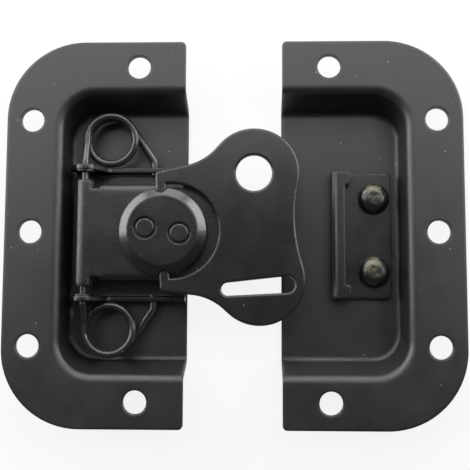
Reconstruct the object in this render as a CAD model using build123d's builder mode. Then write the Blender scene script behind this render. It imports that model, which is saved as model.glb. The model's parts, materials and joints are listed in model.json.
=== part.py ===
from build123d import *
from math import acos, atan2, cos, degrees, hypot, pi, radians, sin, tan
import os

# Recessed butterfly latch in a dish split into a latch half and a keeper half.
# X runs from the latch half to the keeper half, Y along the split and Z out of the case.
# The origin is midway between the halves, on the underside of the dish floors.

# Clearances
RUNNING = 0.05
SLIDE = 0.1
BODY_GAP = 0.3

# Dish, pressed from steel sheet
SPLIT_GAP = 25.4
HALF_WIDTH = 47.0
DISH_LENGTH = 101.0
DISH_DEPTH = 12.0
SHEET = 1.2
CORNER_R = 20.5
CUT_CORNER_R = 1.2
END_FLANGE = 17.1
REAR_ROOM = 1.45
SIDE_DRAFT = 2.8
END_DRAFT = 18.3
FLOOR_CORNER_R = 7.5
POCKET_CORNER_R = 8.7
FOOT_BEND_R = 1.2
LIP_BEND_R = 2.2

# Fixing holes in the flange
FIXING_R = 3.0
SIDE_HOLE_INSET = 6.75
SIDE_HOLE_FROM_END = 21.0
END_HOLE_X = 12.3
END_HOLE_INSET = 6.85

# Hinge bracket, a channel folded from sheet
PIVOT_TO_REAR = 3.6
BRACKET_SETBACK = 0.3
EAR_ROOM = 2.8
EAR_TOP_REAR = 1.6
EAR_TOP_FRONT = 1.9
EAR_LOBE_REAR = 4.6
EAR_LOBE_FRONT = 6.0
EAR_LOBE_R = 2.6
EAR_SHOULDER_DROP = 2.1
EAR_HEEL_DROP = 2.0
EAR_RAIL_H = 3.0
EAR_BEND_R = 1.6
EAR_HEEL_R = 1.0
FOLD_R = 0.6
RIVET_SHANK_R = 1.6
BRACKET_RIVET_REAR = 4.4
BRACKET_RIVET_SETBACK = 3.7
BRACKET_RIVET_HEAD_R = 3.0
BRACKET_RIVET_HEAD_H = 0.9
BRACKET_RIVET_FLAT_R = 0.8

# Spring wire that makes the hinge pins
WIRE_R = 1.0
COIL_PITCH = 2.15
COIL_WALL_ROOM = 0.6
ANCHOR_REACH = 17.8
ANCHOR_H = 1.2
PIN_DEPTH = 7.0
WIRE_BEND_R = 2.0
PIN_OUTSIDE = 1.0
LEVEL_RUN = 1.6
ANCHOR_BEND = 1.8
ANCHOR_OVERHANG = 0.6

# Flanged bushes in the ears
BUSH_R = 1.8
BUSH_FLANGE_R = 2.6
BUSH_FLANGE = 0.5

# Arm plate with its rolled barrel
ARM_SHEET = 1.2
ARM_HALF_WIDTH = 12.75
ARM_REACH = 21.3
ARM_BELOW_RIM = 0.65
ARM_NOSE = 15.2
ARM_NOSE_CORNER_R = 4.0
BARREL_OVERHANG = 1.15
SKIRT_NOSE = 4.7
NOTCH_REACH = 4.3
NOTCH_DEPTH = 1.2
NOTCH_WIDTH = 2.2
SKIRT_CORNER_R = 2.0
CURL_END_DROP = 0.2

# Cam that turns in the arm plate
CAM_TO_CUT = 5.4
CAP_R = 11.4
CAP_FLAT_R = 9.1
CAP_BEVEL_H = 1.8
CAP_OVER_WING = 1.5
CAP_EDGE_R = 0.7
JOURNAL_R = 6.6
RETAINER_ROOM = 0.75
RETAINER_SHEET = 1.2
CAP_RIVET_OFFSET = 4.45
CAP_RIVET_TILT = -9.0
CAP_RIVET_SHANK_R = 1.35
CAP_RIVET_WALL = 0.4
CAP_RIVET_END_R = 2.35
CAP_RECESS_R = 2.85
CAP_RECESS_DEPTH = 0.6
CAP_RIVET_PROUD = 0.1
CAP_RIVET_EDGE_R = 0.35
TAIL_HEAD_H = 0.8

# Drawbolt
BOLT_SHEET = 2.0
BOLT_SIDE_RIM = 1.35
BOLT_REAR_RIM = 3.05
YOKE_PLAY = 0.45
BOLT_NOSE_REACH = 33.5
BOLT_SHOULDER_REACH = 13.1
BOLT_SHOULDER = 3.25
HOOK_TIP_ROOM = 2.1
BOLT_CORNER_R = 1.5
YOKE_CORNER_R = 3.0

# Wing
WING_SHEET = 2.0
WING_TILT = 3.0
WING_OVER_DISH = 0.4
BAR_HALF_WIDTH = 1.3
ARM_END_Y = 15.4
LOBE_X = 24.2
LOBE_Y = 13.8
LOBE_R = 11.7
LOBE_TANGENT = 135.0
NECK_SLOPE = 9.7
NECK_R = 14.0
ARM_END_R = 1.0
NOSE_X = 34.1
WINDOW_X = 2.2
WINDOW_R = 12.2
PADLOCK_R = 4.65
SLOT_NEAR_X = 16.0
SLOT_NEAR_Y = -15.75
SLOT_NEAR_R = 1.65
SLOT_FAR_X = 31.1
SLOT_FAR_Y = -15.3
SLOT_FAR_R = 2.1
WING_EDGE_R = 0.5

# Keeper
KEEPER_SHEET = 1.5
KEEPER_WALL_ROOM = 2.35
KEEPER_WIDTH = 16.3
KEEPER_HALF_LENGTH = 16.95
KEEPER_CORNER_R = 1.6
CURL_R = 2.2
CURL_REACH = 3.8
NUB_REACH = 5.3
NUB_LENGTH = 3.6
NUB_CORNER_R = 0.8
KEEPER_RIVET_INSET = 4.7
KEEPER_RIVET_Y = 9.85
KEEPER_RIVET_HEAD_R = 4.2
KEEPER_RIVET_HEAD_H = 2.9
KEEPER_RIVET_FLAT_R = 1.7

# Heights, up from the floor and down from the rim
bore_r = WIRE_R + RUNNING
barrel_r = bore_r + ARM_SHEET
floor_z = SHEET
base_z = floor_z + SHEET
anchor_z = base_z + ANCHOR_H
ear_rail_z = base_z + EAR_RAIL_H
skirt_under_z = base_z + BODY_GAP
hook_tip_z = floor_z + HOOK_TIP_ROOM
arm_top_z = DISH_DEPTH - ARM_BELOW_RIM
arm_under_z = arm_top_z - ARM_SHEET
pivot_z = arm_top_z - barrel_r
ear_shoulder_z = pivot_z - EAR_SHOULDER_DROP
ear_heel_z = ear_shoulder_z - EAR_HEEL_DROP
hub_top_z = arm_top_z + SLIDE
bolt_top_z = arm_under_z - BODY_GAP
bolt_under_z = bolt_top_z - BOLT_SHEET
eccentric_top_z = arm_under_z - SLIDE
retainer_top_z = bolt_under_z - BODY_GAP
retainer_under_z = retainer_top_z - RETAINER_SHEET
wing_under_z = DISH_DEPTH + WING_OVER_DISH
bar_z = wing_under_z + WING_SHEET / 2
groove_r = hypot(BAR_HALF_WIDTH, WING_SHEET / 2) + SLIDE
cap_top_z = wing_under_z + WING_SHEET + CAP_OVER_WING
cap_skirt_z = cap_top_z - CAP_BEVEL_H

# Half widths, out from the middle line to the arm, the ears and the springs, and in from the dish's ends
arm_inner_y = ARM_HALF_WIDTH - ARM_SHEET
bolt_half_width = arm_inner_y - BODY_GAP
bolt_nose_half_width = bolt_half_width - BOLT_SHOULDER
retainer_r = arm_inner_y - RETAINER_ROOM
barrel_y = ARM_HALF_WIDTH + BARREL_OVERHANG
ear_inner_y = barrel_y + EAR_ROOM
ear_outer_y = ear_inner_y + SHEET
pocket_foot_y = DISH_LENGTH / 2 - END_FLANGE
end_hole_y = DISH_LENGTH / 2 - END_HOLE_INSET
side_hole_pitch = DISH_LENGTH / 2 - SIDE_HOLE_FROM_END
coil_r = (pocket_foot_y - COIL_WALL_ROOM - ear_outer_y - SLIDE) / 2 - WIRE_R
coil_y = ear_outer_y + SLIDE + WIRE_R + coil_r
bend_r = min(WIRE_BEND_R, coil_r / 2)
anchor_bend_y = ear_outer_y + ANCHOR_BEND

# The eccentric fills the yoke's width and holds both rivets, and its throw is what that leaves
yoke_reach = bolt_half_width - BOLT_SIDE_RIM - BODY_GAP
rivet_reach = CAP_RIVET_OFFSET + CAP_RIVET_SHANK_R + CAP_RIVET_WALL
eccentric_r = (yoke_reach + rivet_reach) / 2
throw = (yoke_reach - rivet_reach) / 2

# Places along X, back from the cut to the rear wall of each half
split_x = SPLIT_GAP / 2
cam_x = -split_x - CAM_TO_CUT
pivot_x = cam_x - ARM_REACH
bracket_front_x = -split_x - BRACKET_SETBACK
bracket_rear_x = pivot_x - PIVOT_TO_REAR
lobe_rear_x = pivot_x - EAR_LOBE_REAR
pocket_foot_x = -split_x - bracket_rear_x + REAR_ROOM
coil_x = pivot_x + coil_r
anchor_x = pivot_x + ANCHOR_REACH
notch_far_x = pivot_x + NOTCH_REACH
skirt_front_x = cam_x + SKIRT_NOSE
yoke_half_x = eccentric_r + YOKE_PLAY
bolt_rear_x = cam_x - throw - yoke_half_x - BOLT_REAR_RIM
bolt_shoulder_x = cam_x + BOLT_SHOULDER_REACH
bolt_nose_x = cam_x + BOLT_NOSE_REACH
keeper_rear_x = split_x + pocket_foot_x - KEEPER_WALL_ROOM
keeper_front_x = keeper_rear_x - KEEPER_WIDTH
keeper_rivet_x = keeper_rear_x - KEEPER_RIVET_INSET
curl_edge_x = keeper_front_x + CURL_REACH
nub_edge_x = keeper_front_x + NUB_REACH


def pocket_section(z, grow):
    """Half sizes and corner radius of the sharp-cornered pocket at height z, its wall moved out by grow."""
    rise = z - floor_z
    corner_growth = (POCKET_CORNER_R - FLOOR_CORNER_R) / (DISH_DEPTH - floor_z)
    half_x = pocket_foot_x + rise * tan(radians(SIDE_DRAFT)) + grow / cos(radians(SIDE_DRAFT))
    half_y = pocket_foot_y + rise * tan(radians(END_DRAFT)) + grow / cos(radians(END_DRAFT))
    return half_x, half_y, FLOOR_CORNER_R + rise * corner_growth + grow


def half_dish(side, rivet_spots):
    """A whole pressed dish, centred on the cut, with the half on the other side of the cut taken off."""
    cut = Plane(origin=(side * split_x, 0, 0), x_dir=(1, 0, 0), z_dir=(0, 0, 1))
    with BuildPart() as dish:
        with BuildSketch(cut.offset(DISH_DEPTH - SHEET)):
            RectangleRounded(2 * HALF_WIDTH, DISH_LENGTH, CORNER_R)
        extrude(amount=SHEET)
        for z in (0, DISH_DEPTH - SHEET / 2):
            half_x, half_y, corner_r = pocket_section(z, SHEET)
            with BuildSketch(cut.offset(z)):
                RectangleRounded(2 * half_x, 2 * half_y, corner_r)
        loft(ruled=True)
        bottom_rim = dish.faces().sort_by(Axis.Z)[0].outer_wire().edges()
        fillet(bottom_rim, FOOT_BEND_R + SHEET)
        under_bend = dish.faces().filter_by(Plane.XY).sort_by(Axis.Z)[1].inner_wires()[0].edges()
        fillet(under_bend, LIP_BEND_R - SHEET)
        for z in (floor_z, DISH_DEPTH):
            half_x, half_y, corner_r = pocket_section(z, 0)
            with BuildSketch(cut.offset(z)):
                RectangleRounded(2 * half_x, 2 * half_y, corner_r)
        loft(ruled=True, mode=Mode.SUBTRACT)
        pocket_floor = dish.faces().filter_by(Plane.XY).group_by(Axis.Z)[1].sort_by(SortBy.AREA)[-1]
        fillet(pocket_floor.outer_wire().edges(), FOOT_BEND_R)
        pocket_rim = dish.faces().sort_by(Axis.Z)[-1].inner_wires()[0].edges()
        fillet(pocket_rim, LIP_BEND_R)
        split(bisect_by=Plane(origin=(side * split_x, 0, 0), z_dir=(side, 0, 0)), keep=Keep.TOP)
        cut_corners = [
            edge
            for edge in dish.edges().filter_by(Axis.Z)
            if abs(edge.center().X - side * split_x) < SLIDE and abs(edge.center().Y) > end_hole_y
        ]
        fillet(cut_corners, CUT_CORNER_R)
        side_x = side * (split_x + HALF_WIDTH - SIDE_HOLE_INSET)
        end_x = side * (split_x + END_HOLE_X)
        spots = [(side_x, n * side_hole_pitch) for n in (-1, 0, 1)]
        spots += [(end_x, n * end_hole_y) for n in (-1, 1)]
        with BuildSketch(Plane.XY):
            with Locations(*spots):
                Circle(FIXING_R)
            with Locations(*rivet_spots):
                Circle(RIVET_SHANK_R + RUNNING)
        extrude(amount=DISH_DEPTH, mode=Mode.SUBTRACT)
    return dish


bracket_spots = [(pivot_x + BRACKET_RIVET_REAR, 0), (-split_x - BRACKET_RIVET_SETBACK, 0)]
keeper_spots = [(keeper_rivet_x, n * KEEPER_RIVET_Y) for n in (1, -1)]
latch_dish = half_dish(-1, bracket_spots)
keeper_dish = half_dish(1, keeper_spots)

# Hinge bracket: channel section along X, its ears cut to a lobe over the pivot and a low rail
with BuildPart() as hinge_bracket:
    with BuildSketch(Plane.YZ.offset(lobe_rear_x)):
        with BuildLine():
            FilletPolyline(
                (-ear_outer_y, DISH_DEPTH),
                (-ear_outer_y, floor_z),
                (ear_outer_y, floor_z),
                (ear_outer_y, DISH_DEPTH),
                radius=FOLD_R + SHEET,
            )
            Line((ear_outer_y, DISH_DEPTH), (ear_inner_y, DISH_DEPTH))
            FilletPolyline(
                (ear_inner_y, DISH_DEPTH),
                (ear_inner_y, base_z),
                (-ear_inner_y, base_z),
                (-ear_inner_y, DISH_DEPTH),
                radius=FOLD_R,
            )
            Line((-ear_inner_y, DISH_DEPTH), (-ear_outer_y, DISH_DEPTH))
        make_face()
    extrude(amount=bracket_front_x - lobe_rear_x)
    with BuildSketch(Plane.XZ.offset(-ear_outer_y)):
        with BuildLine():
            FilletPolyline(
                (bracket_front_x, ear_rail_z),
                (pivot_x + EAR_LOBE_FRONT, ear_rail_z),
                (pivot_x + EAR_TOP_FRONT, DISH_DEPTH),
                (pivot_x - EAR_TOP_REAR, DISH_DEPTH),
                (lobe_rear_x, ear_shoulder_z),
                (bracket_rear_x, ear_heel_z),
                (bracket_rear_x, floor_z),
                radius=(EAR_BEND_R, EAR_LOBE_R, EAR_LOBE_R, EAR_BEND_R, EAR_HEEL_R),
            )
            Polyline((bracket_rear_x, floor_z), (bracket_front_x, floor_z), (bracket_front_x, ear_rail_z))
        make_face()
    extrude(amount=2 * ear_outer_y, mode=Mode.INTERSECT)
    with BuildSketch(Plane.XZ.offset(-ear_outer_y)):
        with Locations((pivot_x, pivot_z)):
            Circle(BUSH_R + RUNNING)
        with Locations((anchor_x, anchor_z)):
            Circle(bore_r)
    extrude(amount=2 * ear_outer_y, mode=Mode.SUBTRACT)
    with BuildSketch(Plane.XY.offset(floor_z)):
        with Locations(*bracket_spots):
            Circle(RIVET_SHANK_R + RUNNING)
    extrude(amount=SHEET, mode=Mode.SUBTRACT)


def rivet(spot, seat_z, head_r, head_h, flat_r):
    """A solid rivet through the dish floor: domed head with a small flat, tail flush with the underside."""
    with BuildPart() as piece:
        with BuildSketch(Plane(origin=(*spot, 0), x_dir=(1, 0, 0), z_dir=(0, -1, 0))):
            with BuildLine():
                Polyline((0, seat_z + head_h), (0, 0), (RIVET_SHANK_R, 0), (RIVET_SHANK_R, seat_z), (head_r, seat_z))
                bulge = (head_r - flat_r) * cos(pi / 4)
                ThreePointArc(
                    (head_r, seat_z),
                    (flat_r + bulge, seat_z + head_h * sin(pi / 4)),
                    (flat_r, seat_z + head_h),
                )
                Line((flat_r, seat_z + head_h), (0, seat_z + head_h))
            make_face()
        revolve(axis=Axis((*spot, 0), (0, 0, 1)))
    return piece


bracket_rivet_rear, bracket_rivet_front = [
    rivet(spot, base_z, BRACKET_RIVET_HEAD_R, BRACKET_RIVET_HEAD_H, BRACKET_RIVET_FLAT_R)
    for spot in bracket_spots
]

# Hinge springs: pin in the barrel, leg down to the coil, one and a half turns, leg anchored in the rail
anchor_run = hypot(anchor_x - coil_x, anchor_bend_y - coil_y)
leave_angle = degrees(atan2(anchor_bend_y - coil_y, anchor_x - coil_x) + acos(coil_r / anchor_run))
coil_turns = (180 - leave_angle) / 360 + 1
coil_slope = COIL_PITCH / (2 * pi * coil_r)
leg_run = (anchor_run**2 - coil_r**2) ** 0.5
coil_top_z = anchor_z + leg_run * coil_slope + coil_turns * COIL_PITCH
with BuildPart() as hinge_spring_upper:
    with BuildLine() as wire:
        coil = Helix(COIL_PITCH, coil_turns * COIL_PITCH, coil_r, (coil_x, coil_y, coil_top_z), (0, 0, -1))
        level_y = coil_y - LEVEL_RUN
        FilletPolyline(
            (pivot_x, barrel_y - PIN_DEPTH, pivot_z),
            (pivot_x, ear_outer_y + PIN_OUTSIDE, pivot_z),
            (pivot_x, level_y, coil_top_z + LEVEL_RUN * coil_slope),
            coil @ 0,
            radius=bend_r,
        )
        FilletPolyline(
            coil @ 1,
            (anchor_x, anchor_bend_y, anchor_z),
            (anchor_x, ear_inner_y - ANCHOR_OVERHANG, anchor_z),
            radius=bend_r,
        )
    with BuildSketch(Plane(origin=wire.line @ 0, z_dir=wire.line % 0)):
        Circle(WIRE_R)
    sweep(path=wire.line)
with BuildPart() as hinge_spring_lower:
    mirror(hinge_spring_upper.part, about=Plane.XZ)


def pivot_bush(side):
    """Bush pressed into the bracket ear on this side, its flange against the inner face."""
    with BuildPart() as bush:
        with BuildSketch(Plane(origin=(pivot_x, side * (ear_inner_y - BUSH_FLANGE), pivot_z), z_dir=(0, side, 0))):
            Circle(BUSH_FLANGE_R)
            Circle(bore_r, mode=Mode.SUBTRACT)
        extrude(amount=BUSH_FLANGE)
        with BuildSketch(Plane(origin=(pivot_x, side * ear_inner_y, pivot_z), z_dir=(0, side, 0))):
            Circle(BUSH_R)
            Circle(bore_r, mode=Mode.SUBTRACT)
        extrude(amount=SHEET)
    return bush


pivot_bush_upper, pivot_bush_lower = [pivot_bush(side) for side in (1, -1)]

# Arm plate: skirted channel, flat front, and the rear edge rolled round the pins
with BuildPart() as arm_plate:
    with BuildSketch(Plane.YZ.offset(notch_far_x)):
        with BuildLine():
            FilletPolyline(
                (-ARM_HALF_WIDTH, skirt_under_z),
                (-ARM_HALF_WIDTH, arm_top_z),
                (ARM_HALF_WIDTH, arm_top_z),
                (ARM_HALF_WIDTH, skirt_under_z),
                radius=FOLD_R + ARM_SHEET,
            )
            Line((ARM_HALF_WIDTH, skirt_under_z), (arm_inner_y, skirt_under_z))
            FilletPolyline(
                (arm_inner_y, skirt_under_z),
                (arm_inner_y, arm_under_z),
                (-arm_inner_y, arm_under_z),
                (-arm_inner_y, skirt_under_z),
                radius=FOLD_R,
            )
            Line((-arm_inner_y, skirt_under_z), (-ARM_HALF_WIDTH, skirt_under_z))
        make_face()
    extrude(amount=skirt_front_x - notch_far_x)
    fillet(arm_plate.edges().filter_by(Axis.Y).group_by(Axis.Z)[0], SKIRT_CORNER_R)
    with BuildSketch(Plane.XY.offset(arm_under_z)):
        with Locations((pivot_x, 0)):
            neck_length = notch_far_x - pivot_x + ARM_SHEET
            Rectangle(neck_length, 2 * (ARM_HALF_WIDTH - NOTCH_DEPTH), align=(Align.MIN, Align.CENTER))
            with Locations((notch_far_x - pivot_x - NOTCH_WIDTH, 0)):
                Rectangle(pivot_x + NOTCH_WIDTH - notch_far_x, 2 * barrel_y, align=(Align.MAX, Align.CENTER))
    extrude(amount=ARM_SHEET)
    with BuildSketch(Plane.XY.offset(arm_under_z)) as front:
        with Locations((skirt_front_x, 0)):
            front_length = ARM_NOSE - SKIRT_NOSE
            Rectangle(front_length, 2 * ARM_HALF_WIDTH, align=(Align.MIN, Align.CENTER))
        fillet(front.vertices().group_by(Axis.X)[-1], ARM_NOSE_CORNER_R)
    extrude(amount=ARM_SHEET)
    with BuildSketch(Plane.XZ.offset(-barrel_y)):
        with Locations((pivot_x, pivot_z)):
            Circle(barrel_r)
            Circle(bore_r, mode=Mode.SUBTRACT)
            with Locations((0, -CURL_END_DROP)):
                Rectangle(2 * barrel_r, 2 * barrel_r, align=(Align.MIN, Align.MIN), mode=Mode.SUBTRACT)
    extrude(amount=2 * barrel_y)
    with BuildSketch(Plane.XY.offset(arm_under_z)):
        with Locations((cam_x, 0)):
            Circle(JOURNAL_R + RUNNING)
    extrude(amount=ARM_SHEET, mode=Mode.SUBTRACT)

# Cam: eccentric with its journal, cap above the arm plate, retainer below, two rivets through all
rivet_angle = radians(CAP_RIVET_TILT)
cap_rivet_spots = [
    (cam_x + n * CAP_RIVET_OFFSET * cos(rivet_angle), n * CAP_RIVET_OFFSET * sin(rivet_angle)) for n in (-1, 1)
]
cap_rivet_hole_r = CAP_RIVET_SHANK_R + RUNNING
with BuildPart() as cam_hub:
    with BuildSketch(Plane.XY.offset(retainer_top_z)):
        with Locations((cam_x - throw, 0)):
            Circle(eccentric_r)
    extrude(amount=eccentric_top_z - retainer_top_z)
    with BuildSketch(Plane.XY.offset(eccentric_top_z)):
        with Locations((cam_x, 0)):
            Circle(JOURNAL_R)
    extrude(amount=hub_top_z - eccentric_top_z)
    with Locations(*[(x, y, hub_top_z) for x, y in cap_rivet_spots]):
        Hole(cap_rivet_hole_r)

with BuildPart() as cam_retainer:
    with BuildSketch(Plane.XY.offset(retainer_under_z)):
        with Locations((cam_x, 0)):
            Circle(retainer_r)
        with Locations(*cap_rivet_spots):
            Circle(cap_rivet_hole_r, mode=Mode.SUBTRACT)
    extrude(amount=RETAINER_SHEET)

tilt = radians(WING_TILT)
bar_section = Plane(origin=(cam_x, 0, 0), x_dir=(cos(tilt), sin(tilt), 0), z_dir=(sin(tilt), -cos(tilt), 0))
with BuildPart() as cam_cap:
    with BuildSketch(Plane(origin=(cam_x, 0, 0), x_dir=(1, 0, 0), z_dir=(0, -1, 0))):
        with BuildLine():
            FilletPolyline(
                (0, hub_top_z),
                (CAP_R, hub_top_z),
                (CAP_R, cap_skirt_z),
                (CAP_FLAT_R, cap_top_z),
                (0, cap_top_z),
                radius=(0, CAP_EDGE_R, CAP_EDGE_R),
            )
            Line((0, cap_top_z), (0, hub_top_z))
        make_face()
    revolve(axis=Axis((cam_x, 0, 0), (0, 0, 1)))
    with BuildSketch(bar_section):
        with Locations((0, bar_z)):
            Circle(groove_r)
            Rectangle(2 * groove_r, bar_z - hub_top_z, align=(Align.CENTER, Align.MAX))
    extrude(amount=CAP_R, both=True, mode=Mode.SUBTRACT)
    with Locations(*[(x, y, cap_top_z) for x, y in cap_rivet_spots]):
        CounterBoreHole(cap_rivet_hole_r, CAP_RECESS_R, CAP_RECESS_DEPTH)


def cap_rivet(spot):
    """A rivet through cap, hub and retainer: flat closed end in the cap's recess, low dome underneath."""
    seat_z = cap_top_z - CAP_RECESS_DEPTH
    tail_z = retainer_under_z - TAIL_HEAD_H
    with BuildPart() as piece:
        with BuildSketch(Plane(origin=(*spot, 0), x_dir=(1, 0, 0), z_dir=(0, -1, 0))):
            with BuildLine():
                ThreePointArc(
                    (0, tail_z),
                    (CAP_RIVET_END_R * sin(pi / 4), retainer_under_z - TAIL_HEAD_H * cos(pi / 4)),
                    (CAP_RIVET_END_R, retainer_under_z),
                )
                FilletPolyline(
                    (CAP_RIVET_END_R, retainer_under_z),
                    (CAP_RIVET_SHANK_R, retainer_under_z),
                    (CAP_RIVET_SHANK_R, seat_z),
                    (CAP_RIVET_END_R, seat_z),
                    (CAP_RIVET_END_R, cap_top_z + CAP_RIVET_PROUD),
                    (0, cap_top_z + CAP_RIVET_PROUD),
                    radius=(0, 0, 0, CAP_RIVET_EDGE_R),
                )
                Line((0, cap_top_z + CAP_RIVET_PROUD), (0, tail_z))
            make_face()
        revolve(axis=Axis((*spot, 0), (0, 0, 1)))
    return piece


cap_rivet_left, cap_rivet_right = [cap_rivet(spot) for spot in cap_rivet_spots]

# Drawbolt: flat plate with a yoke round the eccentric and its nose folded down as a hook
with BuildPart() as drawbolt:
    with BuildSketch(Plane.XZ.offset(-bolt_half_width)):
        with BuildLine():
            hook_inner_x = bolt_nose_x - BOLT_SHEET
            FilletPolyline(
                (bolt_rear_x, bolt_top_z),
                (bolt_nose_x, bolt_top_z),
                (bolt_nose_x, hook_tip_z),
                radius=FOLD_R + BOLT_SHEET,
            )
            Line((bolt_nose_x, hook_tip_z), (hook_inner_x, hook_tip_z))
            FilletPolyline(
                (hook_inner_x, hook_tip_z),
                (hook_inner_x, bolt_under_z),
                (bolt_rear_x, bolt_under_z),
                radius=FOLD_R,
            )
            Line((bolt_rear_x, bolt_under_z), (bolt_rear_x, bolt_top_z))
        make_face()
    extrude(amount=2 * bolt_half_width)
    with BuildSketch(Plane.XY.offset(hook_tip_z)) as plan:
        with Locations((bolt_rear_x, 0)):
            rear_length = bolt_shoulder_x - bolt_rear_x
            Rectangle(rear_length, 2 * bolt_half_width, align=(Align.MIN, Align.CENTER))
            bolt_length = bolt_nose_x - bolt_rear_x
            Rectangle(bolt_length, 2 * bolt_nose_half_width, align=(Align.MIN, Align.CENTER))
        fillet(plan.vertices().group_by(Axis.X)[0], BOLT_CORNER_R)
        fillet(plan.vertices().group_by(Axis.X)[-2], BOLT_CORNER_R)
        yoke_y = 2 * (eccentric_r + throw + BODY_GAP)
        with Locations((cam_x - throw, 0)):
            RectangleRounded(2 * yoke_half_x, yoke_y, YOKE_CORNER_R, mode=Mode.SUBTRACT)
    extrude(amount=bolt_top_z - hook_tip_z, mode=Mode.INTERSECT)

# Wing: half its outline is drawn and mirrored, then the window, padlock hole and slot are cut
tangent_angle = radians(LOBE_TANGENT)
lobe_tangent = (LOBE_X + LOBE_R * cos(tangent_angle), LOBE_Y + LOBE_R * sin(tangent_angle))
neck_rise = tan(radians(NECK_SLOPE))
lobe_rise = tan(tangent_angle - pi / 2)
knee_x = (lobe_tangent[1] - lobe_rise * lobe_tangent[0] - ARM_END_Y - BAR_HALF_WIDTH * neck_rise) / (
    neck_rise - lobe_rise
)
knee = (knee_x, ARM_END_Y + (knee_x + BAR_HALF_WIDTH) * neck_rise)
lobe_to_nose = NOSE_X - LOBE_X
nose_r = (LOBE_Y**2 + lobe_to_nose**2 - LOBE_R**2) / (2 * (LOBE_R - lobe_to_nose))
nose_angle = degrees(atan2(-LOBE_Y, lobe_to_nose + nose_r))
window_half_height = (WINDOW_R**2 - (WINDOW_X - BAR_HALF_WIDTH) ** 2) ** 0.5
wing_plane = Plane(origin=(cam_x, 0, wing_under_z), x_dir=(cos(tilt), sin(tilt), 0), z_dir=(0, 0, 1))
with BuildPart() as wing:
    with BuildSketch(wing_plane):
        with BuildLine():
            FilletPolyline(
                (-BAR_HALF_WIDTH, 0),
                (-BAR_HALF_WIDTH, ARM_END_Y),
                knee,
                lobe_tangent,
                radius=(ARM_END_R, NECK_R),
            )
            CenterArc((LOBE_X, LOBE_Y), LOBE_R, LOBE_TANGENT, nose_angle - LOBE_TANGENT)
            CenterArc((NOSE_X + nose_r, 0), nose_r, 180 + nose_angle, -nose_angle)
            mirror(about=Plane.XZ)
        make_face()
        with BuildLine():
            Line((BAR_HALF_WIDTH, -window_half_height), (BAR_HALF_WIDTH, window_half_height))
            ThreePointArc(
                (BAR_HALF_WIDTH, -window_half_height),
                (WINDOW_X + WINDOW_R, 0),
                (BAR_HALF_WIDTH, window_half_height),
            )
        make_face(mode=Mode.SUBTRACT)
        with Locations((LOBE_X, LOBE_Y)):
            Circle(PADLOCK_R, mode=Mode.SUBTRACT)
    extrude(amount=WING_SHEET)
    with BuildSketch(wing_plane):
        with Locations((SLOT_NEAR_X, SLOT_NEAR_Y)):
            Circle(SLOT_NEAR_R)
        with Locations((SLOT_FAR_X, SLOT_FAR_Y)):
            Circle(SLOT_FAR_R)
        make_hull()
    extrude(amount=WING_SHEET, mode=Mode.SUBTRACT)
    flat_sides = wing.faces().filter_by(Plane.XY)
    fillet(flat_sides.edges(), WING_EDGE_R)

# Keeper: strip riveted to the keeper dish, its front edge curled up and over with a nub at each end
curl_x = keeper_front_x + CURL_R
curl_z = floor_z + CURL_R
curl_top_z = floor_z + 2 * CURL_R
with BuildPart() as keeper_plate:
    with BuildSketch(Plane.XZ.offset(-KEEPER_HALF_LENGTH)):
        with BuildLine():
            Line((keeper_rear_x, floor_z), (curl_x, floor_z))
            CenterArc((curl_x, curl_z), CURL_R, 270, -180)
            Polyline((curl_x, curl_top_z), (nub_edge_x, curl_top_z), (nub_edge_x, curl_top_z - KEEPER_SHEET))
            Line((nub_edge_x, curl_top_z - KEEPER_SHEET), (curl_x, curl_top_z - KEEPER_SHEET))
            CenterArc((curl_x, curl_z), CURL_R - KEEPER_SHEET, 90, 180)
            Line((curl_x, floor_z + KEEPER_SHEET), (keeper_rear_x, floor_z + KEEPER_SHEET))
            Line((keeper_rear_x, floor_z + KEEPER_SHEET), (keeper_rear_x, floor_z))
        make_face()
    extrude(amount=2 * KEEPER_HALF_LENGTH)
    with BuildSketch(Plane.XY.offset(curl_z)):
        with Locations((curl_edge_x, 0)):
            seat_length = 2 * (KEEPER_HALF_LENGTH - NUB_LENGTH)
            Rectangle(2 * (nub_edge_x - curl_edge_x), seat_length, align=(Align.MIN, Align.CENTER))
    extrude(amount=CURL_R, mode=Mode.SUBTRACT)
    upright = keeper_plate.edges().filter_by(Axis.Z)
    fillet(upright.group_by(Axis.X)[-1], KEEPER_CORNER_R)
    nub_corners = [e for e in upright if abs(e.center().X - nub_edge_x) < SLIDE]
    fillet(nub_corners, NUB_CORNER_R)
    with BuildSketch(Plane.XY.offset(floor_z)):
        with Locations(*keeper_spots):
            Circle(RIVET_SHANK_R + RUNNING)
    extrude(amount=KEEPER_SHEET, mode=Mode.SUBTRACT)

keeper_rivet_upper, keeper_rivet_lower = [
    rivet(spot, floor_z + KEEPER_SHEET, KEEPER_RIVET_HEAD_R, KEEPER_RIVET_HEAD_H, KEEPER_RIVET_FLAT_R)
    for spot in keeper_spots
]

pieces = {
    "latch_dish": latch_dish,
    "keeper_dish": keeper_dish,
    "hinge_bracket": hinge_bracket,
    "bracket_rivet_rear": bracket_rivet_rear,
    "bracket_rivet_front": bracket_rivet_front,
    "hinge_spring_upper": hinge_spring_upper,
    "hinge_spring_lower": hinge_spring_lower,
    "pivot_bush_upper": pivot_bush_upper,
    "pivot_bush_lower": pivot_bush_lower,
    "arm_plate": arm_plate,
    "drawbolt": drawbolt,
    "cam_hub": cam_hub,
    "cam_retainer": cam_retainer,
    "cam_cap": cam_cap,
    "cap_rivet_left": cap_rivet_left,
    "cap_rivet_right": cap_rivet_right,
    "wing": wing,
    "keeper_plate": keeper_plate,
    "keeper_rivet_upper": keeper_rivet_upper,
    "keeper_rivet_lower": keeper_rivet_lower,
}
os.makedirs("parts", exist_ok=True)
for name, piece in pieces.items():
    piece.part.label = name
    export_step(piece.part, f"parts/{name}.step")
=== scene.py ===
import json
from math import cos, pi, radians, sin

import bmesh
import bpy
from mathutils import Matrix, Vector

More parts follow.
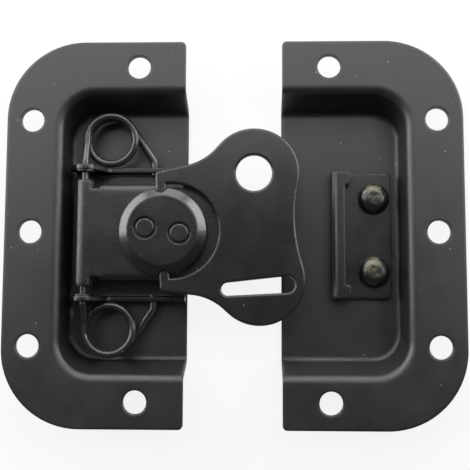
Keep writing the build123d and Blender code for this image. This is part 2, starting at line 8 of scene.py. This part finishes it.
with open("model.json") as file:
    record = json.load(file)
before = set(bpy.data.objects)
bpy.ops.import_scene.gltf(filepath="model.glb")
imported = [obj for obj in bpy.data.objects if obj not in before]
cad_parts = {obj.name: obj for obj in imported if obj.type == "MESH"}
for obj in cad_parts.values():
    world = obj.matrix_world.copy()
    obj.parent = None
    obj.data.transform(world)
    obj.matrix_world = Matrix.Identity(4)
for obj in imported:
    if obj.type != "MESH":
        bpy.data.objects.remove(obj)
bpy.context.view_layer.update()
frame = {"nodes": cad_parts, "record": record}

MM = 0.001

# Camera at the photograph's angle, placed in mm and tilted in degrees in the part's frame
IMAGE_PX = 470
CAMERA_PLACE = (6.9, -22.3, 230.5)
CAMERA_TILT = (5.61, 1.68, 0.05)
CAMERA_FOCAL_PX = 850
SENSOR_WIDTH = 36.0
CLIP_START_M = 0.01
CLIP_END_M = 60.0

# What all coats share. Real ones have an IOR of about 1.55, and 1.8 matches how strongly these reflect
COAT_IOR = 1.8
GLOSS_SPREAD = 0.05
CLOUD_MM = 9.0

# Nearly all of a noise texture lies between these two values
NOISE_LOW = 0.3
NOISE_HIGH = 0.7

# Dust: specks scattered through space about 5 mm apart, so that the surface cuts only a few of them. Real
# ones are about 0.1 mm across and are drawn coarser so that they show
DUST_CELL_MM = 5.0
DUST_R_MM = 0.22
DUST_HEART = 0.6
DUST_COVER = 0.5
DUST_COLOUR = "#bcb8ae"

# Wear and a painted highlight on the keeper's rivets: lighter patches on the side of the crown that looks up
# and a little back, towards the lamps. It begins and is full where patch noise and facing add up to these
# values
LIT_SIDE = (-0.12, 0.5, 0.86)
WEAR_AND_HIGHLIGHT_PATCH_MM = 1.6
WEAR_AND_HIGHLIGHT_START = 1.33
WEAR_AND_HIGHLIGHT_FULL = 1.5
WORN_STEEL_AND_HIGHLIGHT = "#6a684f"

# Softboxes: name, azimuth and elevation in degrees, width and height in mm, radiance
LAMP_DISTANCE_MM = 450
LAMPS = (
    ("low_left", 150, 17, (520, 280), 4.6),
    ("low_right", 34, 14, (440, 230), 5.2),
    ("low_back", 90, 14, (360, 190), 2.7),
    ("top_back", 90, 61, (640, 240), 1.5),
    ("top_left", 168, 50, (40, 130), 9.0),
    ("top_right", 10, 48, (40, 130), 12.0),
    ("back_strip", 90, 42, (300, 50), 8.0),
)

# Floor and sky. The sky is dim, and only a low band of it carries on the white of the floor
WHITE = "#ffffff"
FLOOR_COLOUR = "#f9f9f9"
FLOOR_ROUGHNESS = 0.9
FLOOR_WHITE = 0.86
FLOOR_REACH_M = 20.0
SKY_LEVEL = 0.08
PALE_BAND_TOP = 0.01
PALE_BAND_END = 0.03


def linear(code):
    """An sRGB hex colour as linear red, green, blue and alpha."""
    channels = [int(code[i:i + 2], 16) / 255 for i in (1, 3, 5)]
    return [c / 12.92 if c <= 0.04045 else ((c + 0.055) / 1.055) ** 2.4 for c in channels] + [1.0]


def add_node(tree, kind, links=(), **settings):
    """Adds a node. Settings name attributes or sockets, and each link is (socket, from node, from socket)."""
    node = tree.nodes.new(kind)
    for key, value in settings.items():
        if hasattr(node, key):
            setattr(node, key, value)
    for key, value in settings.items():
        if not hasattr(node, key):
            node.inputs[key.replace("_", " ")].default_value = value
    for socket, source, output in links:
        tree.links.new(source.outputs[output], node.inputs[socket])
    return node


def metal_coat(name, colour, roughness, peel_mm, height_mm, edge_mm, streak=1.0):
    """A coat on steel, with orange peel drawn out along X by streak, cloudy gloss, rounded edges and dust."""
    material = bpy.data.materials.new(name)
    material.use_nodes = True
    tree = material.node_tree
    shader = tree.nodes["Principled BSDF"]
    shader.inputs["IOR"].default_value = COAT_IOR
    place = add_node(tree, "ShaderNodeTexCoord")

    rounded = add_node(tree, "ShaderNodeBevel", samples=4, Radius=edge_mm * MM)
    drawn_out = add_node(tree, "ShaderNodeMapping", [("Vector", place, "Object")],
                         Scale=(1 / streak, 1.0, 1.0))
    peel = add_node(tree, "ShaderNodeTexNoise", [("Vector", drawn_out, "Vector")],
                    Scale=1 / (peel_mm * MM), Detail=2.0, Roughness=0.55)
    bump = add_node(tree, "ShaderNodeBump", [("Height", peel, "Fac"), ("Normal", rounded, "Normal")],
                    Strength=1.0, Distance=height_mm * MM)
    tree.links.new(bump.outputs["Normal"], shader.inputs["Normal"])

    cloud = add_node(tree, "ShaderNodeTexNoise", [("Vector", place, "Object")],
                     Scale=1 / (CLOUD_MM * MM), Detail=4.0, Roughness=0.6)
    gloss = add_node(tree, "ShaderNodeMapRange", [("Value", cloud, "Fac")],
                     From_Min=NOISE_LOW, From_Max=NOISE_HIGH,
                     To_Min=roughness - GLOSS_SPREAD, To_Max=roughness + GLOSS_SPREAD)
    tree.links.new(gloss.outputs["Result"], shader.inputs["Roughness"])

    speck_r = DUST_R_MM / DUST_CELL_MM
    cells = add_node(tree, "ShaderNodeTexVoronoi", [("Vector", place, "Object")],
                     Scale=1 / (DUST_CELL_MM * MM))
    speck = add_node(tree, "ShaderNodeMapRange", [("Value", cells, "Distance")],
                     From_Min=speck_r, From_Max=speck_r * DUST_HEART, To_Max=DUST_COVER)
    dusty = add_node(tree, "ShaderNodeMix", [("Factor", speck, "Result")], data_type="RGBA",
                     A=linear(colour), B=linear(DUST_COLOUR))
    tree.links.new(dusty.outputs["Result"], shader.inputs["Base Color"])
    return material


def paint_crown_wear_and_highlight(material):
    """Paints lighter patches on the side of a rivet's crown that faces the lamps: partly worn steel, partly a
    painted highlight.
    """
    tree = material.node_tree
    shader = tree.nodes["Principled BSDF"]
    coat_colour = shader.inputs["Base Color"].links[0].from_socket
    place = add_node(tree, "ShaderNodeTexCoord")
    facing = add_node(tree, "ShaderNodeVectorMath", [(0, place, "Normal")], operation="DOT_PRODUCT")
    facing.inputs[1].default_value = LIT_SIDE
    patches = add_node(tree, "ShaderNodeTexNoise", [("Vector", place, "Object")],
                       Scale=1 / (WEAR_AND_HIGHLIGHT_PATCH_MM * MM), Detail=5.0, Roughness=0.7)
    ragged = add_node(tree, "ShaderNodeMath", [(0, patches, "Fac"), (1, facing, "Value")], operation="ADD")
    wear_and_highlight = add_node(tree, "ShaderNodeMapRange", [("Value", ragged, "Value")],
                    From_Min=WEAR_AND_HIGHLIGHT_START, From_Max=WEAR_AND_HIGHLIGHT_FULL)
    # Mixes in the worn steel colour as a painted highlight on the crown's lamp-facing side
    bare_and_lit = add_node(tree, "ShaderNodeMix", [("Factor", wear_and_highlight, "Result")], data_type="RGBA",
                    B=linear(WORN_STEEL_AND_HIGHLIGHT))
    tree.links.new(coat_colour, bare_and_lit.inputs["A"])
    tree.links.new(bare_and_lit.outputs["Result"], shader.inputs["Base Color"])


def soft_light(name, azimuth, elevation, size, radiance):
    """A softbox turned to the middle of the part. Azimuth counts from +X towards +Y."""
    data = bpy.data.lights.new(name, "AREA")
    data.shape = "RECTANGLE"
    data.size, data.size_y = size[0] * MM, size[1] * MM
    data.energy = radiance * pi * data.size * data.size_y
    light = bpy.data.objects.new(name, data)
    bpy.context.scene.collection.objects.link(light)
    turn, rise = radians(azimuth), radians(elevation)
    way = Vector((cos(turn) * cos(rise), sin(turn) * cos(rise), sin(rise)))
    light.location = way * LAMP_DISTANCE_MM * MM
    light.rotation_euler = way.to_track_quat("Z", "Y").to_euler()


def dim_sky():
    """A dim, even sky with a pale band at the horizon."""
    world = bpy.data.worlds.new("studio")
    bpy.context.scene.world = world
    world.use_nodes = True
    tree = world.node_tree
    sky = tree.nodes["Background"]
    sky.inputs["Color"].default_value = linear(WHITE)
    way = add_node(tree, "ShaderNodeTexCoord")
    rise = add_node(tree, "ShaderNodeSeparateXYZ", [("Vector", way, "Generated")])
    level = add_node(tree, "ShaderNodeMapRange", [("Value", rise, "Z")],
                     From_Min=PALE_BAND_TOP, From_Max=PALE_BAND_END, To_Min=FLOOR_WHITE, To_Max=SKY_LEVEL)
    tree.links.new(level.outputs["Result"], sky.inputs["Strength"])


def white_floor():
    """A matt floor. Light Path makes it white, so that it adds no light to the part and keeps the shadow."""
    grid = bmesh.new()
    bmesh.ops.create_grid(grid, x_segments=1, y_segments=1, size=FLOOR_REACH_M)
    mesh = bpy.data.meshes.new("floor")
    grid.to_mesh(mesh)
    grid.free()
    floor = bpy.data.objects.new("floor", mesh)
    bpy.context.scene.collection.objects.link(floor)

    paint = bpy.data.materials.new("matt_white_floor")
    paint.use_nodes = True
    tree = paint.node_tree
    matt = tree.nodes["Principled BSDF"]
    matt.inputs["Base Color"].default_value = linear(FLOOR_COLOUR)
    matt.inputs["Roughness"].default_value = FLOOR_ROUGHNESS
    glow = add_node(tree, "ShaderNodeEmission", Color=linear(WHITE), Strength=1.0)
    rays = add_node(tree, "ShaderNodeLightPath")
    mirrored = add_node(tree, "ShaderNodeMath", [(0, rays, "Is Camera Ray"), (1, rays, "Is Glossy Ray")],
                        operation="MAXIMUM")
    seen = add_node(tree, "ShaderNodeMath", [(0, mirrored, "Value"), (1, rays, "Is Transmission Ray")],
                    operation="MAXIMUM")
    share = add_node(tree, "ShaderNodeMath", [(0, seen, "Value")], operation="MULTIPLY")
    share.inputs[1].default_value = FLOOR_WHITE
    mixed = add_node(tree, "ShaderNodeMixShader",
                     [(0, share, "Value"), (1, matt, "BSDF"), (2, glow, "Emission")])
    tree.links.new(mixed.outputs["Shader"], tree.nodes["Material Output"].inputs["Surface"])
    mesh.materials.append(paint)


def photo_camera():
    """A camera at the photograph's place, tilt and focal length."""
    data = bpy.data.cameras.new("camera")
    data.sensor_width = SENSOR_WIDTH
    data.lens = CAMERA_FOCAL_PX / IMAGE_PX * SENSOR_WIDTH
    data.clip_start, data.clip_end = CLIP_START_M, CLIP_END_M
    camera = bpy.data.objects.new("camera", data)
    bpy.context.scene.collection.objects.link(camera)
    turns = [Matrix.Rotation(radians(angle), 4, axis) for angle, axis in zip(CAMERA_TILT, "XYZ")]
    camera.matrix_world = Matrix.Translation(Vector(CAMERA_PLACE) * MM) @ turns[0] @ turns[1] @ turns[2]
    bpy.context.scene.camera = camera


# Powder coat, sprayed and baked on pressed steel. It flows as it bakes and leaves a thick film, so the eye
# sees a soft satin, fine orange peel and rounded rims. Its peel of 0.6 mm is the fine part of the real one
dish_coat = metal_coat("satin_black_powder_coat", "#171818", roughness=0.41,
                       peel_mm=0.6, height_mm=0.018, edge_mm=1.0)

# E-coat, dipped and baked on stamped steel. The film is thin and even, so these parts are darker and glossier
# than the dishes. Its real unevenness is too fine to show and is drawn coarser
part_coat = metal_coat("satin_black_e_coat", "#121313", roughness=0.27,
                       peel_mm=0.45, height_mm=0.008, edge_mm=0.55)

# E-coat on the arm's sheet. Lines left by the die run along the arm, show through the coat and streak the
# light on the rolled edge. Real lines are about 0.1 mm apart and are drawn coarser so that they show
arm_coat = metal_coat("satin_black_e_coat_on_drawn_sheet", "#141515", roughness=0.3,
                      peel_mm=0.5, height_mm=0.022, edge_mm=1.4, streak=12.0)

# E-coat on the keeper's strip. Its edges were tumbled round before it was curled and dipped, so its
# highlights are wide and soft. The coat's unevenness is drawn coarser than real
keeper_coat = metal_coat("satin_black_e_coat_on_rolled_edge", "#191a1a", roughness=0.28,
                         peel_mm=0.4, height_mm=0.004, edge_mm=0.9)

# Spring wire, drawn, coiled and coated black. It is smooth, so each turn carries a thin bright line. The
# coat's unevenness is drawn coarser than real
wire_coat = metal_coat("black_coated_spring_wire", "#212222", roughness=0.26,
                       peel_mm=0.35, height_mm=0.005, edge_mm=0.1)

# Rivets coated black and then set. Setting leaves them slightly uneven, which breaks up the gloss
rivet_coat = metal_coat("black_coated_rivet_steel", "#191919", roughness=0.28,
                        peel_mm=0.6, height_mm=0.01, edge_mm=0.3)

# The keeper's rivets. Their crowns show dull olive brown patches on the side that faces the lamps, partly
# coat rubbed off by the setting tool and partly a painted highlight
rivet_coat_with_wear_and_painted_highlight = metal_coat("black_coated_rivet_steel_worn_and_painted_highlight_on_top", "#131313", roughness=0.3,
                             peel_mm=0.6, height_mm=0.012, edge_mm=0.3)
paint_crown_wear_and_highlight(rivet_coat_with_wear_and_painted_highlight)

slot_finishes = {
    "pressed_dish": dish_coat,
    "latch_parts": part_coat,
    "spring_wire": wire_coat,
    "bushes": part_coat,
    "rivets": rivet_coat,
}
own_finishes = {
    "arm_plate": arm_coat,
    "keeper_plate": keeper_coat,
    "keeper_rivet_upper": rivet_coat_with_wear_and_painted_highlight,
    "keeper_rivet_lower": rivet_coat_with_wear_and_painted_highlight,
}
for part in frame["record"]["subparts"]:
    mesh = frame["nodes"][part["node"]].data
    mesh.materials.clear()
    mesh.materials.append(own_finishes.get(part["node"], slot_finishes[part["material_slot"]]))

for lamp in LAMPS:
    soft_light(*lamp)
dim_sky()
white_floor()
photo_camera()
bpy.context.scene.view_settings.view_transform = "Standard"
